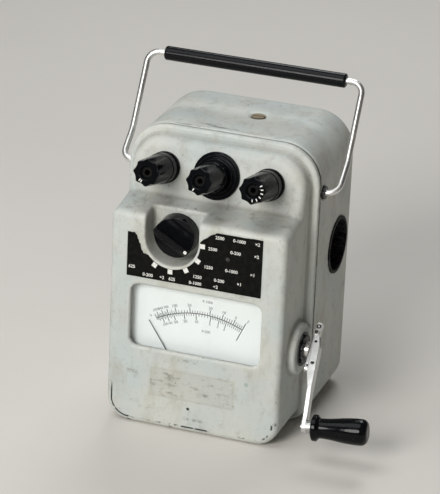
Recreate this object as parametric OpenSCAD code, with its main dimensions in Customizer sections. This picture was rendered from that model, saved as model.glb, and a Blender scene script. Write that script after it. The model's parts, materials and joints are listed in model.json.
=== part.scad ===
// Hand-cranked insulation tester in a cast two-part case
// Millimetres, Z up, X to the right seen from the front, Y towards the back
// The origin is on the base, under the middle of the case

/* [Case] */
// Width over the rim and the rear case
case_w = 150; // [140:1:165]
// Height of the case
case_h = 224; // [218:1:240]
// Depth of the rear case behind the seam
rear_d = 89; // [84:1:110]
// Depth of the front cover in front of the seam
front_d = 58; // [57:0.5:64]
// Distance of the seam in front of the origin
seam_back = 15; // [10:1:20]
// Radius of the two upper corners
top_r = 30; // [24:1:34]
// Radius of the two lower corners
foot_r = 18; // [14:1:20]
// Thickness of the cast walls
wall = 3.5; // [3:0.25:4.5]
// Thickness of the rim around the front cover
rim_t = 6; // [4:0.5:8]
// Step from the rim in to the body of the front cover
rim_step = 6; // [4:0.5:8]
// Rounding of the front edges
edge_r = 5; // [3:0.5:7]
// Rounding of the rear edges
rear_r = 11; // [6:1:14]
// Thickness of the gasket in the seam
gasket_t = 1.2; // [0.6:0.2:2]
// Depth of the dark line that the gasket leaves in the seam
gasket_back = 0.4; // [0.2:0.1:1]

/* [Ledge and terminal panel] */
// Height of the front edge of the ledge, as a share of the case height
ledge_share = 0.768; // [0.75:0.002:0.784]
// Fall of the ledge towards the front, degrees
ledge_fall = 7; // [3:1:10]
// Lean of the terminal panel, degrees
panel_lean = 13.5; // [8:0.5:18]
// Distance of the panel in front of the seam at the terminals
panel_d = 21; // [18:0.5:24]
// Height of the row of terminals, as a share of the case height
panel_share = 0.877; // [0.868:0.001:0.886]
// Rounding of the panel edges
panel_edge = 6; // [3:0.5:8]

/* [Terminals] */
// Distance between neighbouring terminals
terminal_gap = 41.2; // [38:0.2:44]
// Radius of a terminal cap at its foot
cap_r = 11.6; // [10:0.1:12.5]
// Radius of a terminal cap at its tip
cap_tip_r = 10.4; // [9.6:0.1:11]
// Length of a terminal cap
cap_len = 35; // [30:0.5:38]
// Flutes around a terminal cap
cap_flutes = 8; // [6:1:10]
// Radius of the collar under the outer terminals
collar_r = 12.2; // [11:0.1:13.5]
// Thickness of the collars on the panel
collar_t = 4; // [3:0.5:6]
// Radius of the wide collar under the middle terminal
guard_r = 18.2; // [17:0.2:19]
// Radius of the plug sockets
socket_r = 2; // [1.5:0.1:2.4]
// Depth of the plug sockets
socket_len = 19; // [14:1:24]
// Radius of the terminal studs
stud_r = 4; // [3.6:0.1:5]
// Thickness of the clamping washers
clamp_t = 1.6; // [1:0.2:2.4]

/* [Range knob] */
// Position of the knob axis across the case
knob_x = -20.6; // [-24:0.1:-14]
// Distance of the knob axis below the front edge of the ledge
knob_drop = 17.6; // [16:0.1:20]
// Radius of the knob at its foot
knob_r = 16.2; // [14:0.1:16.6]
// Radius of the knob at its front
knob_top_r = 15.7; // [14:0.1:16]
// Height of the knob
knob_h = 18.5; // [14:0.5:20]
// Thickness of the ridge across the knob at its front
knob_bar = 3.8; // [3:0.1:6]
// Angle of the pointer above the level line, degrees
knob_angle = -30; // [-30:30:0]
// Radius of the recess around the knob
pocket_r = 21; // [20:0.2:22.4]
// Depth of the recess behind the front face
pocket_d = 17; // [13:0.5:18]

/* [Meter] */
// Width of the window
window_w = 104; // [92:1:108]
// Height of the window
window_h = 51; // [46:0.5:53]
// Height of the upper edge of the window, as a share of the case height
window_share = 0.5134; // [0.5:0.001:0.52]
// Radius of the window corners
window_r = 7; // [4:0.5:9]
// Thickness of the glass
glass_t = 2; // [1.5:0.25:2.5]
// Distance of the dial behind the front face
dial_d = 11; // [10.5:0.5:12]
// Position of the meter pivot across the case
pivot_x = 3; // [0:0.5:5]
// Height of the meter pivot, as a share of the case height
pivot_share = 0.0857; // [0.083:0.0005:0.09]
// Distance of the tip of the upright needle below the window's upper edge
needle_short = 18.8; // [17:0.2:24]
// Angle of the needle at rest, left of upright, degrees
needle_rest = 33.5; // [30:0.5:34]
// Thickness of the range plate
plate_t = 0.6; // [0.4:0.1:1]
// Height of the range plate
plate_h = 45.8; // [40:0.1:46]
// Width of the range plate
plate_w = 105.8; // [98:0.2:110]
// Position of the middle of the range plate across the case
plate_x = -2.1; // [-4:0.1:1]

/* [Handle] */
// Distance of the pivot behind the seam
hinge_d = 6.5; // [6:0.5:9]
// Height of the pivot, as a share of the case height
hinge_share = 0.8317; // [0.82:0.001:0.85]
// Radius of the bent rod
rod_r = 2.4; // [2:0.1:3]
// Distance of the legs from the case
leg_out = 11; // [9:0.5:14]
// Length of the lower part of a leg
leg_low = 27; // [26:0.5:32]
// Length of the upper part of a leg
leg_top = 62; // [60:0.5:70]
// Lean of the lower part of a leg, degrees
lean_low = 50; // [46:1:54]
// Lean of the upper part of a leg, degrees
lean_top = 30; // [26:1:34]
// Inner radius of the bends
bend_r = 9; // [7:0.5:10]
// Radius of the kink in a leg
kink_r = 15; // [12:1:20]
// Radius of the grip sleeve
sleeve_r = 5.5; // [4.5:0.1:6.5]
// Length of the grip sleeve
sleeve_len = 145; // [130:1:148]

/* [Crank] */
// Distance of the crank shaft in front of the seam
shaft_d = 24; // [22:0.5:25]
// Height of the crank shaft
shaft_z = 70.8; // [70.8:0.1:73]
// Radius of the crank shaft
shaft_r = 4; // [3.5:0.1:4.5]
// Radius of the raised pad around the shaft
pad_r = 20; // [18:0.5:21]
// Lean of the lever, degrees
lever_lean = 48.6; // [44:0.2:52]
// Distance of the fold pin from the shaft
fold_len = 13.6; // [13:0.1:15]
// Length of the arm from the fold pin to the grip
arm_len = 74; // [72:0.5:74.5]
// Sideways set of the grip from the line of the lever
arm_set = 4; // [0:0.5:5]
// Swing of the arm out from the lever, degrees
arm_out = 5.5; // [4:0.5:8]
// Distance of the fold pin from the side of the case
fold_out = 8; // [8:0.1:9]
// Width of the lever
lever_w = 5.5; // [5:0.5:7]
// Thickness of the lever
lever_t = 4.2; // [4:0.1:5]
// Thickness of the pressed sheet of the arm
sheet = 1.2; // [1:0.1:1.6]
// Radius of the grip at its outer end
grip_r = 10; // [9:0.25:10.25]
// Radius of the grip at its neck
neck_r = 7.5; // [7:0.25:8]
// Distance of the end of the grip from the fold pin
grip_end = 51; // [46:0.5:52]
// Radius of the grip spindle
spindle_r = 2.2; // [1.8:0.1:2.4]

/* [Stowage cup] */
// Radius of the mouth of the cup
cup_r = 21.5; // [21:0.25:24]
// Thickness of the cup
cup_t = 1.2; // [1:0.1:1.6]
// Depth of the cup
cup_d = 47.5; // [47:0.5:52]
// Distance of the cup from the grip along the stowed arm
cup_past = 6.1; // [5:0.1:7]
// Distance of the cup from the grip across the stowed arm
cup_set = 2.9; // [0:0.1:4]

/* [Generator and gears] */
// Gear module
gear_m = 1.2; // [1.1:0.05:1.25]
// Teeth on each wheel
wheel_n = 36; // [34:1:37]
// Teeth on each pinion
pinion_n = 12; // [12:1:13]
// Face width of the wheels
wheel_t = 3; // [2.5:0.25:3.25]
// Slope of the gear train towards the back, degrees
train_fall = -10; // [-12:1:-6]
// Radius of the generator rotor
rotor_r = 21.8; // [18:0.2:23]
// Length of the rotor
rotor_len = 44; // [36:1:46]
// Running gap around the rotor
rotor_gap = 0.8; // [0.4:0.1:1.2]
// Thickness of the stator ring
stator_t = 12.7; // [11:0.1:14]
// Radius of the generator shafts
axle_r = 3; // [2.5:0.1:3.4]

/* [Fits] */
// Radial clearance of shafts that turn in holes
running = 0.05; // [0.02:0.01:0.1]
// Gap between pieces that seat without touching
seat = 0.3; // [0.2:0.05:0.4]

/* [Hidden] */
$fn = 64;

// Colours as the object shows them
paint = [0.76, 0.77, 0.72];
black = [0.05, 0.05, 0.06];
steel = [0.75, 0.76, 0.76];
brass = [0.72, 0.56, 0.30];
dark = [0.22, 0.22, 0.22];
white = [0.95, 0.96, 0.95];
copper = [0.62, 0.32, 0.18];

// Case
hw = case_w / 2;
body_hw = hw - rim_step;
body_top = case_h - rim_step;
seam_gap = gasket_t / 2;
thin = 0.01;
ledge_z = case_h * ledge_share;
panel_z = case_h * panel_share;
hinge_z = case_h * hinge_share;
knob_z = ledge_z - knob_drop;
panel_root = 20;
panel_up = (body_top - panel_z) / cos(panel_lean);
panel_down = (panel_z - ledge_z + panel_root / 2) / cos(panel_lean);
screw_r = 2.5;
tap_r = 2.1;
boss_r = 6;
head_r = 4.5;
boss_low = [hw - 12.5, 10.5];
boss_high = [hw - top_r + 15, case_h - top_r + 15];
boss_places = [boss_low, [-boss_low[0], boss_low[1]], boss_high, [-boss_high[0], boss_high[1]]];
boss_len = 9;
head_sink = 8;
top_screw_x = 9;
top_screw_y = 44;
top_head_r = 5.4;
top_sink_r = 7;
top_sink = 2.6;

// Window and meter
front_in = front_d - wall;
window_z1 = case_h * window_share;
window_z0 = window_z1 - window_h;
plate_z1 = ledge_z - edge_r;
plate_z0 = plate_z1 - plate_h;
pivot_z = case_h * pivot_share;
needle_len = window_z1 - needle_short - pivot_z;
glass_lap = 4;
glass_w = window_w + 2 * glass_lap;
glass_h = window_h + 2 * glass_lap;
glass_z = (window_z0 + window_z1) / 2;
seal_t = 1.2;
dial_lap = 3;
dial_w = window_w + 2 * dial_lap;
dial_under = 11;
dial_z0 = window_z0 - dial_under;
dial_z1 = window_z1 + dial_lap;
dial_t = 1;
needle_off = 1.9;
needle_y = -(front_d - dial_d) - needle_off;
meter_boss_len = 11.5;
magnet_w = 66;
magnet_front = front_in - meter_boss_len;
magnet_t = 16;
magnet_gap = 9.5;
magnet_top = window_z0 - magnet_gap;
magnet_z = wall + 1.5;
magnet_r = 10;
bore_wall = 2.7;
air_gap = 4;
bore_r = pivot_z - wall - bore_wall;
core_r = bore_r - air_gap;
core_in = 0.5;
web_t = 3;
staff_gap = 0.8;
coil_gap = 1.2;
coil_w = 3;
coil_out = 1.6;
coil_t = 1;
coil_turn = 29;
staff_r = 0.8;
meter_boss_x = 26;
meter_boss_r = 4;
meter_boss_in = 7;
meter_boss_clear = 1.5;
meter_boss_z = min(magnet_top - meter_boss_in,
  pivot_z + meter_boss_x / tan(needle_rest) - (meter_boss_r + meter_boss_clear) / sin(needle_rest));
meter_screw_r = 1.45;
meter_head_r = 3;
meter_head_t = 2;
dial_screw_r = 1.1;
dial_head_r = 2;
dial_head_t = 1;
dial_screw_z = dial_z0 + 3;
post_x = 16;
post_w = 8;
post_t = 8;
post_lap = 8;
post_z = magnet_top - post_lap;
post_h = dial_screw_z + 3 - post_z;
bridge_x = 21;
bridge_t = 1.6;
bridge_h = 6;
bridge_foot = 5;
bridge_gap = 3;
needle_hub = 2.4;

// Terminals
panel_n = [0, -cos(panel_lean), sin(panel_lean)];
terminal_xs = [-terminal_gap, 0, terminal_gap];
clamp_r = 8.4;
clamp_gap = 0.1;
cap_foot = collar_t + clamp_t + 2 * clamp_gap;
stud_tip = cap_foot + cap_len - 2;
stud_in = wall + 10;
nut_t = 4;
nut_r = 7;
flute_r = 9;
foot_len = 7;

// Knob
pocket_y = -(front_d - pocket_d);
switch_r = 15;
switch_t = 16;
knob_bore = 3;
knob_lift = 0.6;
knob_edge = 0.5;
flank_r = 14.1;
flank_up = 5.5;
flank_y = knob_bar / 2 + sqrt(flank_r * flank_r - flank_up * flank_up);
shaft_in = 10.4;

rivet_x = 24.3;
rivet_up = 26.6;
plate_round = 1.9;
rivet_r = 1.6;
rivet_t = 0.5;

// Handle
leg_x = hw + leg_out;
bush_r = 5;
bush_out = 2;
bush_lip = 2.5;
kink_angle = lean_low - lean_top;
kink_t = kink_r * tan(kink_angle / 2);
kink_y = hinge_d + leg_low * sin(lean_low);
kink_z = hinge_z + leg_low * cos(lean_low);
grip_y = kink_y + leg_top * sin(lean_top);
grip_z = kink_z + leg_top * cos(lean_top);
pin_end = hw - wall - 5;
rod_lap = 0.3;
rod_thin = 0.03;

// Crank, in a frame with X out of the case, Y along the fold pin and Z up the lever
fold_x = hw + fold_out;
washer_r = 13;
washer_t = 2.5;
bearing_r = 7;
bearing_in = wall + 2;
lever_low = 15.2;
tenon_r = 1.6;
tip_len = 9.2;
tip_rivet = 5.8;
tip_ring = 1.8;
ring_t = 0.8;
ring_in = 0.4;
arm_gap = 0.4;
web_x = lever_t / 2 + 1;
web_out = web_x + sheet;
arm_in = lever_w / 2 + arm_gap;
arm_hw = arm_in + sheet;
arm_slim = 0.8;
slim_from = 33;
slim_to = 45;
arm_from = slim_to + 2;
pin_r = 1.25;
ear_r = pin_r + 1;
arm_back = seat - lever_t / 2;
web_from = 10.5;
spacer_t = 4;
spacer_r = 5;
grip_start = web_out + spacer_t;
collar_len = 5;
collar_over = 2.5;
spindle_end = grip_end - 8;

// Stowage cup, on the line of the stowed arm
cup_along = fold_len + arm_len + cup_past;
cup_y = -shaft_d + cup_along * sin(lever_lean) + (arm_set + cup_set) * cos(lever_lean);
cup_z = shaft_z + cup_along * cos(lever_lean) - (arm_set + cup_set) * sin(lever_lean);
cup_rim = 1;

// Gear train
wheel_pr = gear_m * wheel_n / 2;
pinion_pr = gear_m * pinion_n / 2;
centre_d = wheel_pr + pinion_pr;
idler_y = -shaft_d + centre_d * cos(train_fall);
idler_z = shaft_z + centre_d * sin(train_fall);
rotor_y = idler_y + centre_d * cos(train_fall);
rotor_z = idler_z + centre_d * sin(train_fall);
pressure = 25;
addendum = 0.8;
dedendum = 1.05;
backlash = 0.14;
crank_gear_x = body_hw - wall - 2.5 - wheel_t;
idler_wheel_x = crank_gear_x - 1 - wheel_t;
plate_in_x = idler_wheel_x - 1.5 - 3;
frame_t = 3;
strap_w = 20;
stator_in = rotor_r + rotor_gap;
stator_out = stator_in + stator_t;
pillar_r = 4;
pillar_off = (stator_out + seat + pillar_r) / sqrt(2);
winding_t = 8;
end_x = -rotor_len / 2 - winding_t - 4 - frame_t;
chassis_t = 3;
chassis_z = 8;
chassis_head_r = 4;
chassis_head_t = 2.4;
chassis_top = chassis_z + chassis_t;
chassis_y0 = 3;
chassis_y1 = rear_d - wall - 10;
chassis_xs = [end_x + 8, plate_in_x - 8];
chassis_ys = [chassis_y0 + 8, chassis_y1 - 8];

// Resistor board on the back wall
board_w = 60;
board_h = 54;
board_x = -30;
board_fall = 66;
board_z = case_h - board_fall;
board_t = 1.6;
board_off = 10;
resistor_r = 3.5;
resistor_len = 28;
resistor_gap = 10;
resistor_n = 5;

// Placing: the model is drawn from the seam, which lies in front of the origin
module placed() translate([0, -seam_back, 0]) children();
module slab(y0, y1) translate([0, y1, 0]) rotate([90, 0, 0]) linear_extrude(y1 - y0) children();
module across(x0, x1) translate([x0, 0, 0]) rotate([90, 0, 90]) linear_extrude(x1 - x0) children();
module rod_x(y, z, x0, x1, r) translate([x0, y, z]) rotate([0, 90, 0]) cylinder(h = x1 - x0, r = r);
module rod_y(x, z, y0, y1, r) translate([x, y1, z]) rotate([90, 0, 0]) cylinder(h = y1 - y0, r = r);
module rod_z(x, y, z0, z1, r) translate([x, y, z0]) cylinder(h = z1 - z0, r = r);
module panel_frame(x = 0) translate([x, -panel_d, panel_z]) rotate([90 - panel_lean, 0, 0]) children();
module crank_frame() translate([fold_x, -shaft_d, shaft_z]) rotate([-lever_lean, 0, 0]) children();
module fold_frame() crank_frame() translate([0, 0, fold_len]) rotate([0, -arm_out, 0]) children();
module grip_frame() fold_frame() translate([0, arm_set, -arm_len]) rotate([0, 90, 0]) children();

// Upright outline with two upper and two lower corner radii, standing on the line y = 0
module outline(w, h, rt, rb) {
  translate([-w / 2, rb]) square([w, h - rb - rt]);
  translate([-w / 2 + rb, 0]) square([w - 2 * rb, h / 2]);
  translate([-w / 2 + rt, h / 2]) square([w - 2 * rt, h / 2]);
  for (s = [-1, 1]) {
    translate([s * (w / 2 - rb), rb]) circle(rb);
    translate([s * (w / 2 - rt), h - rt]) circle(rt);
  }
}

module rounded(w, h, r) translate([0, -h / 2]) outline(w, h, r, r);

// Casting forms: k is how far the surface lies inside the outer one
module lower_block(k) {
  y1 = k > 0 ? 1 : -rim_t / 2;
  top = ledge_z + (front_d + y1) * tan(ledge_fall);
  hull($fn = 40) {
    for (a = [0 : 22.5 : 90]) {
      in = k + edge_r * (1 - sin(a));
      y = -front_d + k + edge_r * (1 - cos(a));
      translate([0, 0, in]) slab(y, y + thin)
        outline(2 * (body_hw - in), ledge_z - 2 * in, edge_r - in / 2 + 2, foot_r - in + 0.5);
    }
    translate([0, 0, k]) slab(y1 - thin, y1) outline(2 * (body_hw - k), top - 2 * k, edge_r, foot_r - k + 0.5);
  }
}

module upper_block(k) {
  y1 = k > 0 ? 1 : -rim_t / 2;
  corner = top_r - rim_step;
  hull($fn = 40) {
    for (a = [0 : 22.5 : 90]) {
      in = k + panel_edge * (1 - sin(a));
      panel_frame() translate([0, -panel_down, -k - panel_edge * (1 - cos(a)) - thin]) linear_extrude(thin)
        outline(2 * (body_hw - in), panel_down + panel_up - in, corner - in / 2, 2);
    }
    translate([0, 0, ledge_z - panel_root]) slab(y1 - thin, y1)
      outline(2 * (body_hw - k), body_top - ledge_z + panel_root - k, corner - k / 2, 2);
  }
}

module rear_block(k) {
  y0 = k > 0 ? 0 : seam_gap;
  hull($fn = 48) {
    translate([0, 0, k]) slab(y0, y0 + thin) outline(case_w - 2 * k, case_h - 2 * k, top_r - k, foot_r - k);
    for (a = [0 : 15 : 90]) {
      in = k + (rear_r - k / 2) * (1 - sin(a));
      y = rear_d - k - (rear_r - k / 2) * (1 - cos(a));
      translate([0, 0, in]) slab(y - thin, y)
        outline(case_w - 2 * in, case_h - 2 * in, top_r - in, foot_r - in + 0.5);
    }
  }
}

// U-shaped recess that opens upwards into the ledge
module pocket(r, top) {
  translate([knob_x, knob_z]) circle(r);
  translate([knob_x - r, knob_z]) square([2 * r, top - knob_z]);
}

// Raised round pad on the right wall, with a rounded rim
module crank_pad() {
  edge = 2;
  rod_x(-shaft_d, shaft_z, body_hw - 8, hw - edge, pad_r);
  rod_x(-shaft_d, shaft_z, hw - edge - 1, hw, pad_r - edge);
  translate([hw - edge, -shaft_d, shaft_z]) rotate([0, 90, 0])
    rotate_extrude() translate([pad_r - edge, 0]) circle(edge, $fn = 24);
}

module rear_case() color(paint) difference() {
  rear_block(0);
  difference() {
    rear_block(wall);
    for (b = boss_places) rod_y(b[0], b[1], 0, rear_d, boss_r);
    for (x = chassis_xs, y = chassis_ys) rod_z(x, y, 0, chassis_z, 5);
    for (s = [-1, 1]) rod_y(board_x + s * (board_w / 2 - 5), board_z, rear_d - wall - board_off, rear_d, 4);
    rod_z(top_screw_x, top_screw_y, case_h - 16, case_h, 8);
  }
  for (b = boss_places) {
    rod_y(b[0], b[1], -1, rear_d + 1, screw_r + 0.3);
    rod_y(b[0], b[1], rear_d - head_sink, rear_d + 1, head_r + 0.5);
  }
  for (x = chassis_xs, y = chassis_ys) rod_z(x, y, wall + 1, chassis_z + 1, tap_r);
  for (s = [-1, 1]) rod_x(hinge_d, hinge_z, s * hw - 10, s * hw + 10, bush_r + running);
  rod_x(cup_y, cup_z, hw - 15, hw + 1, cup_r + running);
  rod_z(top_screw_x, top_screw_y, case_h - top_sink, case_h + 1, top_sink_r);
  rod_z(top_screw_x, top_screw_y, case_h - 13, case_h, screw_r + running);
}

module front_cover() color(paint) difference() {
  union() {
    lower_block(0);
    upper_block(0);
    slab(-rim_t, -seam_gap) outline(case_w, case_h, top_r, foot_r);
    crank_pad();
  }
  difference() {
    union() {
      lower_block(wall);
      upper_block(wall);
    }
    slab(-front_in - 1, pocket_y + wall) pocket(pocket_r + wall, ledge_z - 1.5);
    for (b = boss_places) rod_y(b[0], b[1], -boss_len, 2, boss_r);
    for (s = [-1, 1]) rod_y(pivot_x + s * meter_boss_x, meter_boss_z, -front_d + 1, -magnet_front, meter_boss_r);
    rod_x(-shaft_d, shaft_z, body_hw - wall - 2, hw - 1, bearing_r + 4);
  }
  slab(-front_d - 1, pocket_y) pocket(pocket_r, case_h);
  translate([0, 0, glass_z]) slab(-front_d - 1, 0) intersection() {
    rounded(window_w, window_h, window_r);
    square([window_w, window_h], center = true);
  }
  rod_y(knob_x, knob_z, pocket_y - 1, pocket_y + wall + 1, knob_bore + 1 + running);
  for (x = terminal_xs) panel_frame(x) translate([0, 0, -2 * wall]) cylinder(h = 3 * wall, r = stud_r + 0.1);
  rod_x(-shaft_d, shaft_z, body_hw - bearing_in - 4, hw + 1, bearing_r);
  for (b = boss_places) rod_y(b[0], b[1], -boss_len + 3, 1, tap_r);
  for (s = [-1, 1]) rod_y(pivot_x + s * meter_boss_x, meter_boss_z, -front_d + wall, 0, meter_screw_r + running);
  slab(-seam_gap, 3) square([4 * case_w, 4 * case_h], center = true);
}

module case_gasket() color(dark) slab(-seam_gap, seam_gap) difference() {
  translate([0, gasket_back]) outline(case_w - 2 * gasket_back, case_h - 2 * gasket_back,
    top_r - gasket_back, foot_r - gasket_back);
  translate([0, wall]) outline(case_w - 2 * wall, case_h - 2 * wall, top_r - wall, foot_r - wall);
}

// Screw with a slotted cheese head, its head at z = 0 and its shank downwards
module slotted(head, shank, h, len) {
  slot = head / 5;
  difference() {
    cylinder(h = h, r = head);
    translate([-head, -slot / 2, h * 0.55]) cube([2 * head, slot, h]);
  }
  translate([0, 0, -len]) cylinder(h = len, r = shank);
}

module case_screws() color(steel) for (b = boss_places)
  translate([b[0], rear_d - head_sink + seat, b[1]]) rotate([-90, 0, 0])
    slotted(head_r, tap_r - running, 3.5, rear_d - head_sink + seat + boss_len - 4);

module top_screw() color(brass) translate([top_screw_x, top_screw_y, case_h - top_sink])
  slotted(top_head_r, screw_r, top_sink - 0.3, 9);

module window_glass() color([0.8, 0.9, 0.92, 0.4]) translate([0, 0, glass_z])
  slab(-front_in + seal_t, -front_in + seal_t + glass_t) rounded(glass_w, glass_h, window_r);

module window_seal() color(dark) translate([0, 0, glass_z]) slab(-front_in, -front_in + seal_t) difference() {
  rounded(glass_w, glass_h, window_r);
  rounded(window_w + 1, window_h + 1, window_r);
}

module range_plate() color(black) slab(-front_d - plate_t, -front_d) difference() {
  translate([plate_x, plate_z0]) outline(plate_w, plate_z1 - plate_z0, 1, 1);
  pocket(pocket_r + plate_round, case_h);
}

module plate_rivet() color(dark)
  rod_y(rivet_x, plate_z0 + rivet_up, -front_d - plate_t - rivet_t, -front_d - plate_t, rivet_r);

module stowage_cup() color(black) translate([hw, cup_y, cup_z]) rotate([0, -90, 0]) {
  difference() {
    union() {
      cylinder(h = cup_d, r = cup_r - running);
      translate([0, 0, -cup_rim]) cylinder(h = cup_rim, r = cup_r + 1);
    }
    translate([0, 0, -cup_rim - 1]) cylinder(h = cup_d - cup_t + cup_rim + 1, r = cup_r - cup_t);
  }
}

module handle_bushes() color(black) for (s = [-1, 1]) mirror([s < 0 ? 1 : 0, 0, 0]) difference() {
  union() {
    rod_x(hinge_d, hinge_z, hw - wall - 1, hw + bush_out, bush_r);
    rod_x(hinge_d, hinge_z, hw - wall - bush_lip, hw - wall - seat, bush_r + 1);
  }
  rod_x(hinge_d, hinge_z, hw - wall - 2 * bush_lip, hw + 2 * bush_out, rod_r + running);
}

// Bent rod: each step draws a length or a bend and hands on the place and direction of its end
module rod_length(len) {
  translate([0, 0, -rod_lap]) cylinder(h = len + 2 * rod_lap, r = rod_r);
  translate([0, 0, len]) children();
}

module rod_bend(radius, angle) {
  translate([radius, 0, 0]) rotate([90, 0, 180])
    rotate_extrude(angle = angle) translate([radius, 0]) circle(rod_r - rod_thin);
  translate([radius * (1 - cos(angle)), 0, radius * sin(angle)]) rotate([0, angle, 0]) children();
}

module handle_rod() color(steel) {
  rod_x(grip_y, grip_z, bend_r - leg_x - rod_lap, leg_x - bend_r + rod_lap, rod_r);
  for (s = [0, 1]) mirror([s, 0, 0])
    translate([leg_x - bend_r, grip_y, grip_z]) rotate([-lean_top, 0, 0]) rotate([0, 90, 0])
      rod_bend(bend_r, 90) rod_length(leg_top - bend_r - kink_t)
        rotate([0, 0, -90]) rod_bend(kink_r, kink_angle) rod_length(leg_low - bend_r - kink_t)
          rotate([0, 0, 90]) rod_bend(bend_r, 90) rod_length(leg_x - bend_r - pin_end);
}

module handle_grip() color(black) difference() {
  union() {
    rod_x(grip_y, grip_z, 1 - sleeve_len / 2, sleeve_len / 2 - 1, sleeve_r);
    for (s = [-1, 1]) translate([s * (sleeve_len / 2 - 1), grip_y, grip_z]) rotate([0, s * 90, 0])
      cylinder(h = 1, r1 = sleeve_r, r2 = sleeve_r - 1);
  }
  rod_x(grip_y, grip_z, -sleeve_len, sleeve_len, rod_r + running);
}

// Crank
module crank_bearing() color(brass) difference() {
  rod_x(-shaft_d, shaft_z, body_hw - bearing_in, hw, bearing_r - running);
  rod_x(-shaft_d, shaft_z, 0, 2 * hw, shaft_r + running);
}

module crank_washer() color(black) difference() {
  union() {
    rod_x(-shaft_d, shaft_z, hw, hw + 1, washer_r);
    rod_x(-shaft_d, shaft_z, hw, hw + washer_t, washer_r - 2);
  }
  rod_x(-shaft_d, shaft_z, hw - 1, hw + 5, shaft_r + 0.2);
}

module crank_shaft() color(steel) {
  rod_x(-shaft_d, shaft_z, plate_in_x - 1, fold_x - lever_t / 2, shaft_r);
  rod_x(-shaft_d, shaft_z, fold_x - lever_t / 2 - 1, fold_x + lever_t / 2 - 0.4, tenon_r);
}

module crank_collar() color(steel) difference() {
  rod_x(-shaft_d, shaft_z, hw + washer_t + seat, fold_x - lever_t / 2, shaft_r + 2.6);
  rod_x(-shaft_d, shaft_z, hw, fold_x, shaft_r + 0.01);
}

// Bar with round ends in the plane of the lever, along its thickness
module lever_shape(low, high) {
  translate([-lever_w / 2, -low]) square([lever_w, low + high]);
  translate([0, -low]) circle(lever_w / 2);
}

// Lever: round below the shaft, square beyond the fold pin, with a ringed rivet near the tip
module crank_lever() color(steel) crank_frame() difference() {
  translate([-lever_t / 2, 0, 0]) rotate([90, 0, 90]) linear_extrude(lever_t)
    lever_shape(lever_low, fold_len + tip_len);
  translate([0, 0, fold_len]) rotate([90, 0, 0]) cylinder(h = 3 * lever_w, r = pin_r + running, center = true);
  rotate([0, 90, 0]) cylinder(h = 3 * lever_t, r = tenon_r + 0.01, center = true);
  translate([0, 0, 2 - lever_low]) rotate([90, 0, 0]) cylinder(h = 3 * lever_w, r = 1, center = true);
  for (s = [-1, 1]) translate([0, s * lever_w / 2, fold_len + tip_rivet]) rotate([90, 0, 0]) difference() {
    cylinder(h = 2 * ring_in, r = tip_ring, center = true);
    cylinder(h = 1, r = tip_ring - ring_t, center = true);
  }
}

module fold_pin() color(steel) fold_frame() {
  rotate([90, 0, 0]) cylinder(h = 2 * arm_hw + 0.2, r = pin_r, center = true);
  for (s = [-1, 1]) rotate([s * 90, 0, 0]) translate([0, 0, arm_hw]) cylinder(h = 0.8, r = pin_r + 0.8);
}

// Side cheek of the arm: a round ear at the fold pin, deep beside the lever, slimmer towards the grip
module arm_cheek() {
  low = arm_len + arm_hw - 1;
  difference() {
    union() {
      polygon([[arm_back, 0], [arm_back, -slim_from], [arm_slim, -slim_to], [arm_slim, -low],
        [web_out, -low], [web_out, -web_from], [ear_r, 0]]);
      circle(ear_r);
    }
    circle(pin_r + 0.01);
    translate([1.2, 8 - slim_from]) circle(1.2);
    translate([0.7, -7.4]) circle(1);
  }
}

// The arm runs beside the lever and then sets over to the grip
module crank_arm() color(steel) fold_frame() difference() {
  union() {
    for (s = [-1, 1]) translate([0, s * (arm_in + sheet / 2) + sheet / 2, 0]) rotate([90, 0, 0])
      linear_extrude(sheet) intersection() {
        arm_cheek();
        translate([-arm_len, -arm_from]) square(2 * arm_len);
      }
    translate([web_x, 0, 0]) rotate([90, 0, 90]) linear_extrude(sheet) arm_web();
    translate([arm_slim, 0, 0]) rotate([90, 0, 90]) linear_extrude(web_x - arm_slim) difference() {
      arm_web();
      arm_hollow();
      translate([-arm_len, -arm_from]) square(2 * arm_len);
    }
  }
  grip_hole();
}

module arm_web() {
  to = arm_len - arm_hw - 2;
  polygon([[-arm_hw, -web_from], [-arm_hw, -arm_from], [arm_set - arm_hw, -to], [arm_set - arm_hw, -arm_len],
    [arm_set + arm_hw, -arm_len], [arm_set + arm_hw, -to], [arm_hw, -arm_from], [arm_hw, -web_from]]);
  translate([arm_set, -arm_len]) circle(arm_hw);
}

module arm_hollow() {
  to = arm_len - arm_hw - 2;
  polygon([[-arm_in, 0], [-arm_in, -arm_from], [arm_set - arm_in, -to], [arm_set - arm_in, -arm_len],
    [arm_set + arm_in, -arm_len], [arm_set + arm_in, -to], [arm_in, -arm_from], [arm_in, 0]]);
  translate([arm_set, -arm_len]) circle(arm_in);
}

module grip_hole() translate([0, arm_set, -arm_len]) rotate([0, 90, 0])
  cylinder(h = 2 * spindle_end, r = spindle_r + 0.01, center = true);

module grip_spindle() color(steel) grip_frame() {
  cylinder(h = spindle_end, r = spindle_r);
  translate([0, 0, web_x - 2]) cylinder(h = 2, r = spindle_r + 0.7);
  translate([0, 0, web_out]) cylinder(h = spacer_t - seat / 2, r = spacer_r);
}

// Turned grip: collar, neck and a flare to a rounded end
function grip_arc(r, c) = [for (a = [0 : 15 : 90]) [c[0] + r * cos(a), c[1] + r * sin(a)]];
function grip_flare(t) = neck_r + (grip_r - neck_r) * (1 - cos(t * 180)) / 2;

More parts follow.
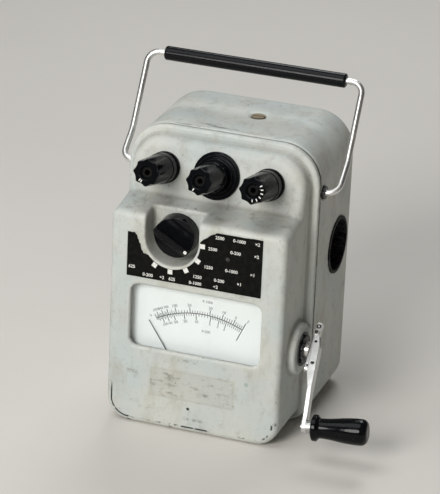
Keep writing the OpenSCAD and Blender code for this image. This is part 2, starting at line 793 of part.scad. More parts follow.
module crank_grip() color(black) {
  z0 = grip_start + seat / 2;
  z1 = z0 + collar_len;
  z2 = grip_end - 9;
  round = 5;
  steps = 8;
  grip_frame() difference() {
    rotate_extrude() polygon(concat(
      [[0, z0], [neck_r + 1, z0], [neck_r + collar_over, z0 + 1], [neck_r + collar_over, z1 - 1], [neck_r + 1, z1]],
      [for (i = [0 : steps]) [grip_flare(i / steps), z1 + 1 + (z2 - z1 - 1) * i / steps]],
      grip_arc(round, [grip_r - round, grip_end - round]),
      [[0, grip_end]]));
    translate([0, 0, -1]) cylinder(h = spindle_end + 1.5, r = spindle_r + running);
  }
}

// Spur gear outline with involute flanks
function inv_deg(a) = tan(a) * 180 / PI - a;
function half_tooth(n, r) = let (base = gear_m * n / 2 * cos(pressure))
  90 / n - backlash / (gear_m * n) * 180 / PI / 2 + inv_deg(pressure) - inv_deg(acos(min(1, base / r)));
function polar(r, a) = [r * cos(a), r * sin(a)];
function tooth(n, at) = let (
  rp = gear_m * n / 2,
  root = rp - dedendum * gear_m,
  low = max(root + 0.05, rp * cos(pressure) + 0.01),
  tip = rp + addendum * gear_m,
  rs = [low, (low + rp) / 2, (rp + tip) / 2, tip])
  concat([polar(root, at - half_tooth(n, low))], [for (r = rs) polar(r, at - half_tooth(n, r))],
    [for (i = [3 : -1 : 0]) polar(rs[i], at + half_tooth(n, rs[i]))], [polar(root, at + half_tooth(n, low))]);

module gear(n, turn) polygon([for (i = [0 : n - 1]) each tooth(n, turn + i * 360 / n)]);

module gear_at(y, z, x0, x1, n, turn, bore, hub, hub_x0, hub_x1) difference() {
  union() {
    translate([0, y, z]) across(x0, x1) gear(n, turn);
    rod_x(y, z, hub_x0, hub_x1, hub);
  }
  rod_x(y, z, -hw, 2 * hw, bore);
}

pinion_turn = train_fall + 180 + 180 / pinion_n;

module crank_gear() color(brass) gear_at(-shaft_d, shaft_z, crank_gear_x, crank_gear_x + wheel_t, wheel_n,
  train_fall, shaft_r + 0.01, shaft_r + 1.8, crank_gear_x - 3, crank_gear_x + wheel_t);

module idler_stud() color(steel) {
  rod_x(idler_y, idler_z, plate_in_x, crank_gear_x + wheel_t + 1.8, axle_r);
  rod_x(idler_y, idler_z, crank_gear_x + wheel_t + 0.9, crank_gear_x + wheel_t + 1.8, axle_r + 1.5);
}

module idler_gear() color(brass) difference() {
  union() {
    translate([0, idler_y, idler_z]) across(idler_wheel_x, idler_wheel_x + wheel_t) gear(wheel_n, train_fall);
    translate([0, idler_y, idler_z]) across(idler_wheel_x + wheel_t, crank_gear_x + wheel_t + 0.6)
      gear(pinion_n, pinion_turn);
  }
  rod_x(idler_y, idler_z, 0, 2 * hw, axle_r + running);
}

module rotor_pinion() color(steel) gear_at(rotor_y, rotor_z, idler_wheel_x - 0.5, idler_wheel_x + wheel_t + 0.5,
  pinion_n, pinion_turn, axle_r + 0.01, axle_r + 1, idler_wheel_x - 0.5, idler_wheel_x + wheel_t + 2);

module rotor_shaft() color(steel) rod_x(rotor_y, rotor_z, end_x - 2, idler_wheel_x + wheel_t + 2, axle_r);

module rotor() color(dark) difference() {
  union() {
    rod_x(rotor_y, rotor_z, -rotor_len / 2, rotor_len / 2, rotor_r);
    rod_x(rotor_y, rotor_z, end_x + frame_t + seat, plate_in_x - seat, axle_r + 3);
  }
  rod_x(rotor_y, rotor_z, -hw, hw, axle_r + 0.01);
}

module stator() color(steel) difference() {
  rod_x(rotor_y, rotor_z, -rotor_len / 2, rotor_len / 2, stator_out);
  rod_x(rotor_y, rotor_z, -hw, hw, stator_in);
}

module stator_windings() color(copper) for (s = [-1, 1])
  translate([s * (rotor_len + winding_t) / 2, rotor_y, rotor_z]) rotate([0, 90, 0]) rotate_extrude()
    translate([stator_in + 2, -winding_t / 2]) square([stator_t - 4, winding_t]);

module pillar_places() for (a = [-1, 1], b = [-1, 1])
  translate([0, rotor_y + a * pillar_off, rotor_z + b * pillar_off]) children();

// Plates at both ends of the generator, standing on the chassis
module plate_shape(y0, y1) {
  top = rotor_z + pillar_off + 7;
  translate([y0, chassis_top]) square([y1 - y0, top - chassis_top]);
}

module gear_plate() color(steel) difference() {
  across(plate_in_x, plate_in_x + frame_t) {
    plate_shape(rotor_y - pillar_off - 7, rotor_y + pillar_off + 7);
    translate([-shaft_d - strap_w / 2, shaft_z - strap_w / 2])
      square([rotor_y - pillar_off + shaft_d + strap_w / 2, strap_w]);
  }
  rod_x(-shaft_d, shaft_z, 0, hw, shaft_r + running);
  rod_x(idler_y, idler_z, 0, hw, axle_r + 0.01);
  rod_x(rotor_y, rotor_z, 0, hw, axle_r + running);
}

module end_plate() color(steel) difference() {
  across(end_x, end_x + frame_t) plate_shape(rotor_y - pillar_off - 7, rotor_y + pillar_off + 7);
  rod_x(rotor_y, rotor_z, -hw, 0, axle_r + running);
}

module frame_pillars() color(steel) pillar_places() rod_x(0, 0, end_x + frame_t, plate_in_x, pillar_r);

module chassis_plate() color(steel) difference() {
  translate([end_x - 2, chassis_y0, chassis_z])
    cube([plate_in_x + frame_t - end_x + 1, chassis_y1 - chassis_y0, chassis_t]);
  for (x = chassis_xs, y = chassis_ys) rod_z(x, y, 0, 20, tap_r + 0.2);
}

module chassis_screws() color(steel) for (x = chassis_xs, y = chassis_ys) translate([x, y, chassis_top])
  slotted(chassis_head_r, tap_r - running, chassis_head_t, chassis_t * 2);

// Meter
module dial_plate() color(white) difference() {
  translate([0, 0, (dial_z0 + dial_z1) / 2]) slab(dial_d - front_d, dial_d - front_d + dial_t)
    rounded(dial_w, dial_z1 - dial_z0, 3);
  for (s = [-1, 1]) rod_y(pivot_x + s * post_x, dial_screw_z, -front_d, 0, dial_screw_r + 0.1);
}

module dial_screws() color(steel) for (s = [-1, 1])
  translate([pivot_x + s * post_x, dial_d - front_d, dial_screw_z]) rotate([90, 0, 0])
    slotted(dial_head_r, dial_screw_r, dial_head_t, dial_t + post_t);

module meter_magnet() color(dark) difference() {
  union() {
    slab(-magnet_front, -magnet_front + magnet_t) difference() {
      translate([pivot_x, magnet_z]) outline(magnet_w, magnet_top - magnet_z, magnet_r, magnet_r / 2);
      translate([pivot_x, pivot_z]) circle(bore_r);
    }
    for (s = [-1, 1]) translate([pivot_x + s * post_x - post_w / 2, dial_d - front_d + dial_t, post_z])
      cube([post_w, post_t, post_h]);
  }
  for (s = [-1, 1]) {
    rod_y(pivot_x + s * meter_boss_x, meter_boss_z, -front_d, 0, meter_screw_r + 0.25);
    rod_y(pivot_x + s * post_x, dial_screw_z, -front_d, 0, dial_screw_r + running);
  }
}

module meter_screws() color(steel) for (s = [-1, 1])
  translate([pivot_x + s * meter_boss_x, magnet_t - magnet_front, meter_boss_z]) rotate([-90, 0, 0])
    slotted(meter_head_r, meter_screw_r, meter_head_t, magnet_t + meter_boss_len / 2);

module meter_core() color(steel) slab(-magnet_front + core_in, -magnet_front + magnet_t - core_in)
  translate([pivot_x, pivot_z]) difference() {
    union() {
      circle(core_r);
      square([web_t, 2 * (bore_r - seat)], center = true);
    }
    circle(staff_r + staff_gap);
  }

// Bridge that carries one end of the meter staff, its feet on the magnet between y0 and y1
module bridge(bar_y, y0, y1) {
  foot_x = bridge_x - bridge_foot / 2;
  translate([pivot_x - bridge_x, bar_y, pivot_z - bridge_h / 2]) cube([2 * bridge_x, bridge_t, bridge_h]);
  for (s = [-1, 1]) translate([pivot_x + s * foot_x - bridge_foot / 2, y0, pivot_z - bridge_h / 2])
    cube([bridge_foot, y1 - y0, bridge_h]);
}

module front_bridge() color(brass) difference() {
  bridge(needle_y - 1 - bridge_t, needle_y - 1 - bridge_t, -magnet_front);
  rod_y(pivot_x, pivot_z, needle_y - bridge_t - 0.2, 0, staff_r + running);
}

module rear_bridge() color(brass) difference() {
  y0 = magnet_t - magnet_front;
  bridge(y0 + bridge_gap, y0, y0 + bridge_gap + bridge_t);
  rod_y(pivot_x, pivot_z, needle_y, y0 + bridge_gap + bridge_t - 0.4, staff_r + running);
}

module needle_turn() translate([pivot_x, 0, pivot_z]) rotate([0, -needle_rest, 0]) children();

module moving_coil() color(copper) translate([pivot_x, 0, pivot_z]) rotate([0, -coil_turn, 0]) difference() {
  y0 = -magnet_front - coil_out;
  y1 = -magnet_front + magnet_t + coil_out;
  out = bore_r - coil_gap;
  in = core_r + coil_gap / 2;
  translate([-out, y0, -coil_w / 2]) cube([2 * out, y1 - y0, coil_w]);
  translate([-in, y0 + coil_t, -coil_w]) cube([2 * in, y1 - y0 - 2 * coil_t, 2 * coil_w]);
  rod_y(0, 0, y0 - 1, y1 + 1, staff_r + 0.01);
}

module meter_needle() color(black) {
  tail = needle_len / 10;
  rod_y(pivot_x, pivot_z, needle_y - bridge_t, magnet_t - magnet_front + bridge_gap + 1, staff_r);
  needle_turn() {
    slab(needle_y - 0.3, needle_y + 0.3)
      polygon([[-1.2, -tail], [1.2, -tail], [0.45, needle_len], [-0.45, needle_len]]);
    rod_y(0, 0, needle_y - 0.8, needle_y + 0.8, needle_hub);
  }
}

// Range switch and knob
module switch_body() color(brass) difference() {
  union() {
    rod_y(knob_x, knob_z, pocket_y + wall, pocket_y + wall + switch_t, switch_r);
    rod_y(knob_x, knob_z, pocket_y - 1.4, pocket_y + wall + 1, knob_bore + 1);
  }
  rod_y(knob_x, knob_z, -front_d, pocket_y + wall + switch_t - 2, knob_bore + running);
}

module switch_shaft() color(steel)
  rod_y(knob_x, knob_z, pocket_y - knob_lift - shaft_in, pocket_y + wall + switch_t - 3, knob_bore);

module knob_frame() translate([knob_x, pocket_y - knob_lift, knob_z]) rotate([90, 0, 0])
  rotate([0, 0, knob_angle]) children();

// Round knob whose front is hollowed on both sides of a ridge across it
module range_knob() color(black) knob_frame() difference() {
  union() {
    cylinder(h = knob_h - knob_edge, r1 = knob_r, r2 = knob_top_r);
    translate([0, 0, knob_h - knob_edge]) cylinder(h = knob_edge, r1 = knob_top_r, r2 = knob_top_r - knob_edge);
  }
  for (s = [-1, 1]) translate([-2 * knob_r, s * flank_y, knob_h + flank_up]) rotate([0, 90, 0])
    cylinder(h = 4 * knob_r, r = flank_r, $fn = 96);
  translate([0, 0, -1]) cylinder(h = shaft_in + 1.1, r = knob_bore + 0.01, $fn = 48);
  translate([0, 0, -1]) cylinder(h = 3, r = knob_r - 3);
}

// Terminals
module terminal_collars() color(black) for (x = [-terminal_gap, terminal_gap]) panel_frame(x) difference() {
  union() {
    cylinder(h = collar_t - 1.2, r = collar_r);
    cylinder(h = collar_t, r = collar_r - 1);
  }
  translate([0, 0, -1]) cylinder(h = 3 * collar_t, r = stud_r + running);
}

module guard_collar() color(black) panel_frame() difference() {
  union() {
    cylinder(h = collar_t * 0.5, r = guard_r);
    cylinder(h = collar_t * 0.75, r = guard_r - 2.4);
    cylinder(h = collar_t, r = collar_r + 1);
  }
  translate([0, 0, -1]) cylinder(h = 3 * collar_t, r = stud_r + running);
}

module terminal_studs() color(brass) for (x = terminal_xs) panel_frame(x) difference() {
  translate([0, 0, -stud_in]) cylinder(h = stud_in + stud_tip, r = stud_r);
  translate([0, 0, stud_tip - socket_len]) cylinder(h = socket_len + 1, r = socket_r);
}

module terminal_nuts() color(brass) for (x = terminal_xs) panel_frame(x) translate([0, 0, -wall - seat - nut_t])
  difference() {
    cylinder(h = nut_t, r = nut_r, $fn = 6);
    translate([0, 0, -1]) cylinder(h = nut_t + 2, r = stud_r + 0.02);
  }

module clamp_washer(x) color(brass) panel_frame(x) translate([0, 0, collar_t + clamp_gap]) difference() {
  cylinder(h = clamp_t, r = clamp_r);
  translate([0, 0, -1]) cylinder(h = clamp_t + 2, r = stud_r + running);
}

// Cap with a smooth foot and flutes that deepen towards the tip
module terminal_cap(x) color(black) panel_frame(x) translate([0, 0, cap_foot]) difference() {
  union() {
    cylinder(h = foot_len, r = cap_r);
    translate([0, 0, foot_len]) cylinder(h = cap_len - foot_len, r1 = cap_r - 0.4, r2 = cap_tip_r);
  }
  for (i = [0 : cap_flutes - 1]) rotate([0, 0, (i + 0.5) * 360 / cap_flutes])
    translate([cap_r + flute_r - 0.6, 0, foot_len + 2]) rotate([0, -4, 0]) cylinder(h = cap_len, r = flute_r);
  translate([0, 0, -1]) cylinder(h = cap_len + 2, r = stud_r + running);
  translate([0, 0, cap_len - 2]) cylinder(h = 2 + thin, r1 = stud_r, r2 = stud_r + 1.6);
}

module left_washer() clamp_washer(-terminal_gap);
module middle_washer() clamp_washer(0);
module right_washer() clamp_washer(terminal_gap);
module left_terminal() terminal_cap(-terminal_gap);
module middle_terminal() terminal_cap(0);
module right_terminal() terminal_cap(terminal_gap);

// Resistors of the measuring circuit
board_y = rear_d - wall - board_off - board_t;
module resistor_board() color([0.45, 0.32, 0.18]) translate([board_x - board_w / 2, board_y, board_z - board_h / 2])
  cube([board_w, board_t, board_h]);

module resistors() color(dark) for (i = [0 : resistor_n - 1])
  rod_x(board_y - resistor_r, board_z + resistor_gap * (i - (resistor_n - 1) / 2), board_x - resistor_len / 2,
    board_x + resistor_len / 2, resistor_r);

placed() rear_case();
placed() front_cover();
placed() case_gasket();
placed() case_screws();
placed() top_screw();
placed() window_glass();
placed() window_seal();
placed() range_plate();
placed() plate_rivet();
placed() stowage_cup();
placed() handle_bushes();
placed() handle_rod();
placed() handle_grip();
placed() crank_bearing();
placed() crank_washer();
placed() crank_shaft();
placed() crank_collar();
placed() crank_lever();
placed() crank_gear();
placed() fold_pin();
placed() crank_arm();
placed() grip_spindle();
placed() crank_grip();
placed() chassis_plate();
placed() chassis_screws();
placed() gear_plate();
placed() end_plate();
placed() frame_pillars();
placed() stator();
placed() stator_windings();
placed() idler_stud();
placed() idler_gear();
placed() rotor();
placed() rotor_shaft();
placed() rotor_pinion();
placed() dial_plate();
placed() dial_screws();
placed() meter_magnet();
placed() meter_screws();
placed() meter_core();
placed() front_bridge();
placed() rear_bridge();
placed() moving_coil();
placed() meter_needle();
placed() switch_body();
placed() switch_shaft();
placed() range_knob();
placed() terminal_collars();
placed() guard_collar();
placed() terminal_studs();
placed() terminal_nuts();
placed() left_washer();
placed() middle_washer();
placed() right_washer();
placed() left_terminal();
placed() middle_terminal();
placed() right_terminal();
placed() resistor_board();
placed() resistors();
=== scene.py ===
import json
import math
import random

import bmesh
import bpy
from mathutils import Matrix, Vector
from mathutils.bvhtree import BVHTree

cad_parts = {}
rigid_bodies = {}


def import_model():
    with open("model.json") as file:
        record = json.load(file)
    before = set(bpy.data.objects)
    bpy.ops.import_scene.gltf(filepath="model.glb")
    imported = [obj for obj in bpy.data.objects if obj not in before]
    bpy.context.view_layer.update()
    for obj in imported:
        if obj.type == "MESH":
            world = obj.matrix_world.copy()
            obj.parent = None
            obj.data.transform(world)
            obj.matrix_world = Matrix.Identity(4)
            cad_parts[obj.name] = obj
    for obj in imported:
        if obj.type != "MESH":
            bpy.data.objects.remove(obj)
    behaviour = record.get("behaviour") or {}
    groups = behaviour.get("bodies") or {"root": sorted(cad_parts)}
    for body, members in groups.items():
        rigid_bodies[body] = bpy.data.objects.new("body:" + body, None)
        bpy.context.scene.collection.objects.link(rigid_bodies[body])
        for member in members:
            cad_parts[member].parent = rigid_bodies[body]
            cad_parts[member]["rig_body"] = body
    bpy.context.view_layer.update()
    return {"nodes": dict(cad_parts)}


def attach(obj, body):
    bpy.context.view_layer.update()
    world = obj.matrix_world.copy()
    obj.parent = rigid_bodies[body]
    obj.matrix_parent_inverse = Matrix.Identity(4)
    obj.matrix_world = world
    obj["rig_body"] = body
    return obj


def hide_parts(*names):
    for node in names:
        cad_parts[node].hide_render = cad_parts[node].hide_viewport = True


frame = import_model()
nodes = frame["nodes"]
scene = bpy.context.scene
mm = 0.001
seamBack = 15.0  # the seam plane lies this far in front of the middle of the base, in millimetres
knobCentre = (-20.6, 154.43)
meterPivot = (3.0, 19.2)
aimPoint = (0.0, -0.015, 0.1)


def at(x, y, z):  # millimetres from the seam to metres in the frame
    return Vector((x, y - seamBack, z)) * mm


def turned(angle, axis):
    return Matrix.Rotation(math.radians(angle), 4, axis)


class Wire:  # a socket that can be used in sums
    def __init__(self, paint, socket):
        self.paint = paint
        self.socket = socket

    def __add__(self, other):
        return self.paint.maths("ADD", self, other)

    def __sub__(self, other):
        return self.paint.maths("SUBTRACT", self, other)

    def __rsub__(self, other):
        return self.paint.maths("SUBTRACT", other, self)

    def __mul__(self, other):
        return self.paint.maths("MULTIPLY", self, other)

    def __pow__(self, other):
        return self.paint.maths("POWER", self, other)

    def __abs__(self):
        return self.paint.maths("ABSOLUTE", self, 0.0)

    __radd__ = __add__
    __rmul__ = __mul__


class Paint:  # one procedural finish
    def __init__(self, name):
        self.material = bpy.data.materials.new(name)
        self.material.use_nodes = True
        self.tree = self.material.node_tree
        self.tree.nodes.clear()
        self.shader = self.tree.nodes.new("ShaderNodeBsdfPrincipled")
        output = self.tree.nodes.new("ShaderNodeOutputMaterial")
        self.tree.links.new(self.shader.outputs[0], output.inputs[0])
        self.place = self.add("TexCoord", {}, {}, "Object")
        axes = self.tree.nodes.new("ShaderNodeSeparateXYZ")
        self.join(axes.inputs[0], self.place)
        self.x, self.y, self.z = [Wire(self, axes.outputs[i]) for i in range(3)]

    def join(self, socket, value):
        if isinstance(value, Wire):
            self.tree.links.new(value.socket, socket)
        else:
            socket.default_value = value

    def add(self, kind, settings, sockets, out=0):
        node = self.tree.nodes.new("ShaderNode" + kind)
        for key, value in settings.items():
            setattr(node, key, value)
        for key, value in sockets.items():
            self.join(node.inputs[key], value)
        return Wire(self, node.outputs[out])

    def maths(self, operation, a, b):
        return self.add("Math", {"operation": operation}, {0: a, 1: b})

    def ramp(self, value, low, high):  # 0 below low, 1 above high, smooth between
        settings = {"interpolation_type": "SMOOTHSTEP"}
        return self.add("MapRange", settings, {"Value": value, "From Min": low, "From Max": high})

    def mix(self, share, a, b):
        return self.add("Mix", {"data_type": "RGBA"}, {0: share, 6: a, 7: b}, 2)

    def noise(self, scale, detail=3.0, roughness=0.55, stretch=None):
        where = self.place
        if stretch:
            where = self.add("Mapping", {}, {"Vector": self.place, "Scale": stretch})
        sockets = {"Vector": where, "Scale": scale, "Detail": detail, "Roughness": roughness}
        return self.add("TexNoise", {}, sockets, 0)

    def bump(self, height, strength, distance):
        return self.add("Bump", {}, {"Height": height, "Strength": strength, "Distance": distance})

    def edge(self):  # about 0.5 on flat faces, more on ridges, less in hollows
        return self.add("NewGeometry", {}, {}, "Pointiness")

    def box(self, x0, x1, z0, z1, soft):  # 1 inside an upright rectangle
        sides = self.ramp(self.x, x0 - soft, x0 + soft) * self.ramp(self.x * -1.0, -x1 - soft, -x1 + soft)
        return sides * self.ramp(self.z, z0 - soft, z0 + soft) * self.ramp(self.z * -1.0, -z1 - soft, -z1 + soft)

    def finish(self, **sockets):
        for key, value in sockets.items():
            self.join(self.shader.inputs[key.replace("_", " ")], value)
        return self.material


# Finishes
paintLook = {
    # the grime colour also serves for painted shade in hollows, on the ledge and along the seam
    "pale": (0.606, 0.618, 0.572, 1), "cool": (0.536, 0.586, 0.572, 1), "grimeAndShade": (0.190, 0.182, 0.146, 1),
    "worn": (0.680, 0.685, 0.635, 1), "bare": (0.022, 0.026, 0.027, 1), "stain": (0.440, 0.425, 0.360, 1),
    "foot": (0.0640, 0.0050, 0.0135), "spot": (-0.0025, -0.073, 0.0200), "green": (0.0429, -0.073, 0.0490),
    "verdigris": (0.250, 0.345, 0.320, 1), "front": (0.0695, 0.0715),
    "ledgeLow": (0.1690, 0.1730), "ledgeHigh": (-0.1900, -0.1780), "ledgeOut": (0.0320, 0.0420),
    "seamShadeReach": (-0.0024, -0.0008), "seamSide": (0.0700, 0.0738),
    "seamShadowReach": (-0.0019, -0.0010), "coreSide": (0.0715, 0.0742),
    "sticker": (-0.0336, 0.0338, 0.026, 0.050), "stickerInner": (-0.0322, 0.0324, 0.0274, 0.0486), "soft": 0.0008,
    "smudges": [(-0.0053, 0.0108, 0.0104, 0.0126), (-0.0528, -0.0446, 0.0412, 0.0444),
                (-0.012, 0.004, 0.0580, 0.0606)],
    "scratchUp": (0.2215, 0.2230), "scratchBack": (-0.0140, -0.0115), "scratchFront": (0.001, 0.006),
    "scratchRight": (-0.012, 0.0), "scratchLeft": (-0.050, -0.036),
}


def makeCasePaint():
    look = paintLook
    p = Paint("casePaint")
    cloud = p.ramp(p.noise(22.0, 4.0), 0.35, 0.68)
    colour = p.mix(cloud, look["pale"], look["cool"])
    smear = p.ramp(p.noise(60.0, 5.0, 0.65, (1.0, 1.0, 0.45)), 0.46, 0.72) * 0.62
    colour = p.mix(smear, colour, look["stain"])
    front = p.ramp(p.y * -1.0, *look["front"])
    blotch = p.ramp(p.noise(95.0, 6.0, 0.72), 0.52, 0.72)
    speck = p.ramp(p.noise(420.0, 2.0), 0.60, 0.72)
    colour = p.mix(blotch * 0.30 + speck * 0.15, colour, look["grimeAndShade"])
    edge = p.edge()
    # Painted shade: darker in hollows, where pointiness is low, partly grime in the crevices.
    hollowShade = p.ramp(edge * -1.0, -0.497, -0.470)
    # Painted shade on the ledge below the panel and terminals, partly grime.
    ledgeShadeAndGrime = p.ramp(p.z, *look["ledgeLow"]) * p.ramp(p.z * -1.0, *look["ledgeHigh"])
    ledgeShadeAndGrime = ledgeShadeAndGrime * p.ramp(p.y * -1.0, *look["ledgeOut"])
    colour = p.mix(hollowShade * 0.45 + ledgeShadeAndGrime * (0.26 + blotch * 0.40), colour, look["grimeAndShade"])
    # Darker band along the seam on the sides: grime and painted shade of the gap.
    seamNear = abs(p.y + seamBack * mm) * -1.0
    seamShadeAndGrime = p.ramp(seamNear, *look["seamShadeReach"]) * p.ramp(abs(p.x), *look["seamSide"])
    colour = p.mix(seamShadeAndGrime * (0.45 + blotch * 0.4), colour, look["grimeAndShade"])
    # Painted shadow: a near-black line in the seam's gap on the sides, in the bare colour.
    seamShadow = p.ramp(seamNear, *look["seamShadowReach"]) * p.ramp(abs(p.x), *look["coreSide"])
    colour = p.mix(seamShadow * 0.84, colour, look["bare"])
    # Lighter along ridges: partly rubbed paint, partly a painted highlight.
    ridge = p.ramp(edge, 0.503, 0.530)
    rub = ridge * p.ramp(p.noise(90.0, 4.0, 0.7), 0.40, 0.62)
    colour = p.mix(rub * 0.55, colour, look["worn"])
    patch = p.box(*look["sticker"], look["soft"]) * front
    inner = p.box(*look["stickerInner"], look["soft"])
    colour = p.mix(patch * (0.24 + (1.0 - inner) * 0.24), colour, look["stain"])
    smudge = p.ramp(p.noise(150.0, 5.0, 0.7, (0.5, 1.0, 1.3)), 0.52, 0.66) * patch
    for x0, x1, z0, z1 in look["smudges"]:
        smudge = smudge + p.box(x0, x1, z0, z1, 0.0009) * front * p.ramp(p.noise(330.0, 4.0, 0.7), 0.42, 0.60)
    colour = p.mix(smudge * 0.62, colour, look["grimeAndShade"])
    stain = p.add("VectorMath", {"operation": "DISTANCE"}, {0: p.place, 1: look["green"]}, "Value")
    colour = p.mix(p.ramp(stain * -1.0, -0.0022, -0.0010) * 0.55, colour, look["verdigris"])
    halfWide, low, bend = look["foot"]
    across = p.maths("MAXIMUM", abs(p.x) - (halfWide - bend), 0.0)
    down = p.maths("MAXIMUM", (low + bend) - p.z, 0.0)
    away = (across * across + down * down) ** 0.5 - bend
    foot = p.ramp(p.y * -1.0, 0.0655, 0.0675) * p.ramp(p.z * -1.0, -0.034, -0.024)
    line = p.ramp(abs(away - 0.0004) * -1.0, -0.0009, -0.0004) * p.ramp(p.noise(48.0, 5.0, 0.7), 0.50, 0.55)
    nick = p.ramp(away, -0.0004, 0.0004) * p.ramp(p.noise(120.0, 5.0, 0.7, (0.6, 1.0, 1.4)), 0.60, 0.63)
    top = p.ramp(p.z, *look["scratchUp"]) * p.ramp(p.y, *look["scratchBack"])
    top = top * p.ramp(p.y * -1.0, *look["scratchFront"])
    top = top * p.ramp(p.x * -1.0, *look["scratchRight"]) * p.ramp(p.x, *look["scratchLeft"])
    scratch = p.ramp(p.noise(85.0, 4.0, 0.7, (0.40, 2.2, 1.0)), 0.56, 0.60) * top
    pit = p.ramp(p.noise(260.0, 2.0), 0.725, 0.745)
    gap = p.add("VectorMath", {"operation": "DISTANCE"}, {0: p.place, 1: look["spot"]}, "Value")
    dot = p.ramp(gap * -1.0, -0.0014, -0.0009)
    chip = p.maths("MAXIMUM", p.maths("MAXIMUM", line, nick) * foot, scratch * 0.7)
    bare = p.maths("MAXIMUM", p.maths("MAXIMUM", chip, pit * 0.6), dot)
    colour = p.mix(bare, colour, look["bare"])
    grain = p.noise(1100.0, 2.0) * 0.35 + p.noise(230.0, 3.0) * 0.65
    height = grain * 0.00010 - bare * 0.00012
    rough = 0.42 + p.noise(45.0, 3.0) * 0.20 - rub * 0.06
    return p.finish(Base_Color=colour, Roughness=rough, Specular_IOR_Level=0.35, Normal=p.bump(height, 0.55, 1.0))


def makeBakelite(name, tone, worn, roughness, edgeWearAndSheen, shine):
    p = Paint(name)
    cloud = p.noise(160.0, 4.0)
    colour = p.mix(p.ramp(cloud, 0.4, 0.7) * 0.5, tone, worn)
    dust = p.ramp(p.noise(900.0, 3.0, 0.7), 0.60, 0.80)
    colour = p.mix(dust * 0.014, colour, (0.30, 0.29, 0.27, 1))
    # Lighter rubbed edges: partly wear, partly a painted highlight on ridges and rims.
    wear = p.ramp(p.edge(), 0.518, 0.580) * p.ramp(p.noise(300.0, 3.0), 0.36, 0.58)
    colour = p.mix(wear * edgeWearAndSheen, colour, (0.150, 0.155, 0.158, 1))
    rough = roughness + (cloud - 0.5) * 0.25 + dust * 0.12 + wear * 0.10
    bumps = p.bump(p.noise(700.0, 3.0) * 0.00005, 0.35, 1.0)
    return p.finish(Base_Color=colour, Roughness=rough, Specular_IOR_Level=shine, Normal=bumps)


def makeMetal(name, tone, dull, roughness, spots, grooveShade=0.0, grain=0.4):
    p = Paint(name)
    tarnish = p.ramp(p.noise(120.0, 5.0, 0.65), 0.42, 0.72)
    colour = p.mix(tarnish * 0.55, tone, dull)
    pit = p.ramp(p.noise(620.0, 3.0, 0.6), 0.63, 0.74) * spots
    colour = p.mix(pit, colour, (0.07, 0.06, 0.045, 1))
    # Painted shade: darker in hollows and grooves.
    if grooveShade:
        colour = p.mix(p.ramp(p.edge() * -1.0, -0.475, -0.435) * grooveShade, colour, (0.018, 0.017, 0.015, 1))
    streak = p.noise(420.0, 2.0, 0.5, (1.0, 1.0, 6.0))
    rough = roughness + tarnish * 0.16 + (streak - 0.5) * 0.16 + pit * 0.25
    height = streak * 0.00003 - pit * 0.00003
    return p.finish(Base_Color=colour, Roughness=rough, Metallic=1.0 - pit * 0.6, Normal=p.bump(height, grain, 1.0))


def makeDull(name, tone, other, roughness, scale=180.0, bump=0.00006, shine=0.3):
    p = Paint(name)
    cloud = p.noise(scale, 5.0, 0.62)
    colour = p.mix(p.ramp(cloud, 0.36, 0.68), tone, other)
    fine = p.noise(scale * 6.0, 2.0)
    rough = roughness + (cloud - 0.5) * 0.2
    bumps = p.bump(fine * bump, 0.5, 1.0)
    return p.finish(Base_Color=colour, Roughness=rough, Specular_IOR_Level=shine, Normal=bumps)


sealLook = {"low": 0.196, "high": 0.217, "dark": (0.012, 0.012, 0.011, 1), "towardsTop": (0.300, 0.315, 0.290, 1)}


def makeSeal():
    p = Paint("seamSeal")
    cloud = p.noise(160.0, 4.0, 0.62)
    # Lighter towards the top, darker down the sides.
    towardsTop = p.ramp(p.z, sealLook["low"], sealLook["high"]) * (0.72 + cloud * 0.28)
    colour = p.mix(towardsTop, sealLook["dark"], sealLook["towardsTop"])
    bumps = p.bump(p.noise(900.0, 2.0) * 0.00006, 0.5, 1.0)
    return p.finish(Base_Color=colour, Roughness=0.62 + (cloud - 0.5) * 0.2, Specular_IOR_Level=0.25, Normal=bumps)


def makeGlass():
    p = Paint("windowGlass")
    smear = p.ramp(p.noise(45.0, 4.0, 0.6, (1.0, 1.0, 0.4)), 0.45, 0.75)
    colour = p.mix(smear, (0.80, 0.90, 0.90, 1), (0.90, 0.94, 0.93, 1))
    return p.finish(Base_Color=colour, Roughness=0.03 + smear * 0.05, Alpha=0.035 + smear * 0.025)


def makeInk(name, tone, faded, wear):
    p = Paint(name)
    rub = p.ramp(p.noise(520.0, 4.0, 0.65), 0.50, 0.70)
    colour = p.mix(rub * wear, tone, faded)
    return p.finish(Base_Color=colour, Roughness=0.50 + rub * 0.2)


# tone, worn tone, roughness, rubbed edges with a painted highlight, shine
bakeliteLook = {
    "bakelite": ((0.0034, 0.0042, 0.0050, 1), (0.0060, 0.0067, 0.0075, 1), 0.12, 0.75, 0.045),
    "gloss": ((0.0030, 0.0034, 0.0042, 1), (0.0048, 0.0054, 0.0062, 1), 0.12, 0.5, 0.14),
    "sleeve": ((0.0035, 0.0040, 0.0050, 1), (0.0065, 0.0072, 0.0082, 1), 0.22, 0.3, 0.15),
    "cupBlack": ((0.0050, 0.0050, 0.0050, 1), (0.008, 0.0075, 0.007, 1), 0.52, 0.3, 0.06),
}
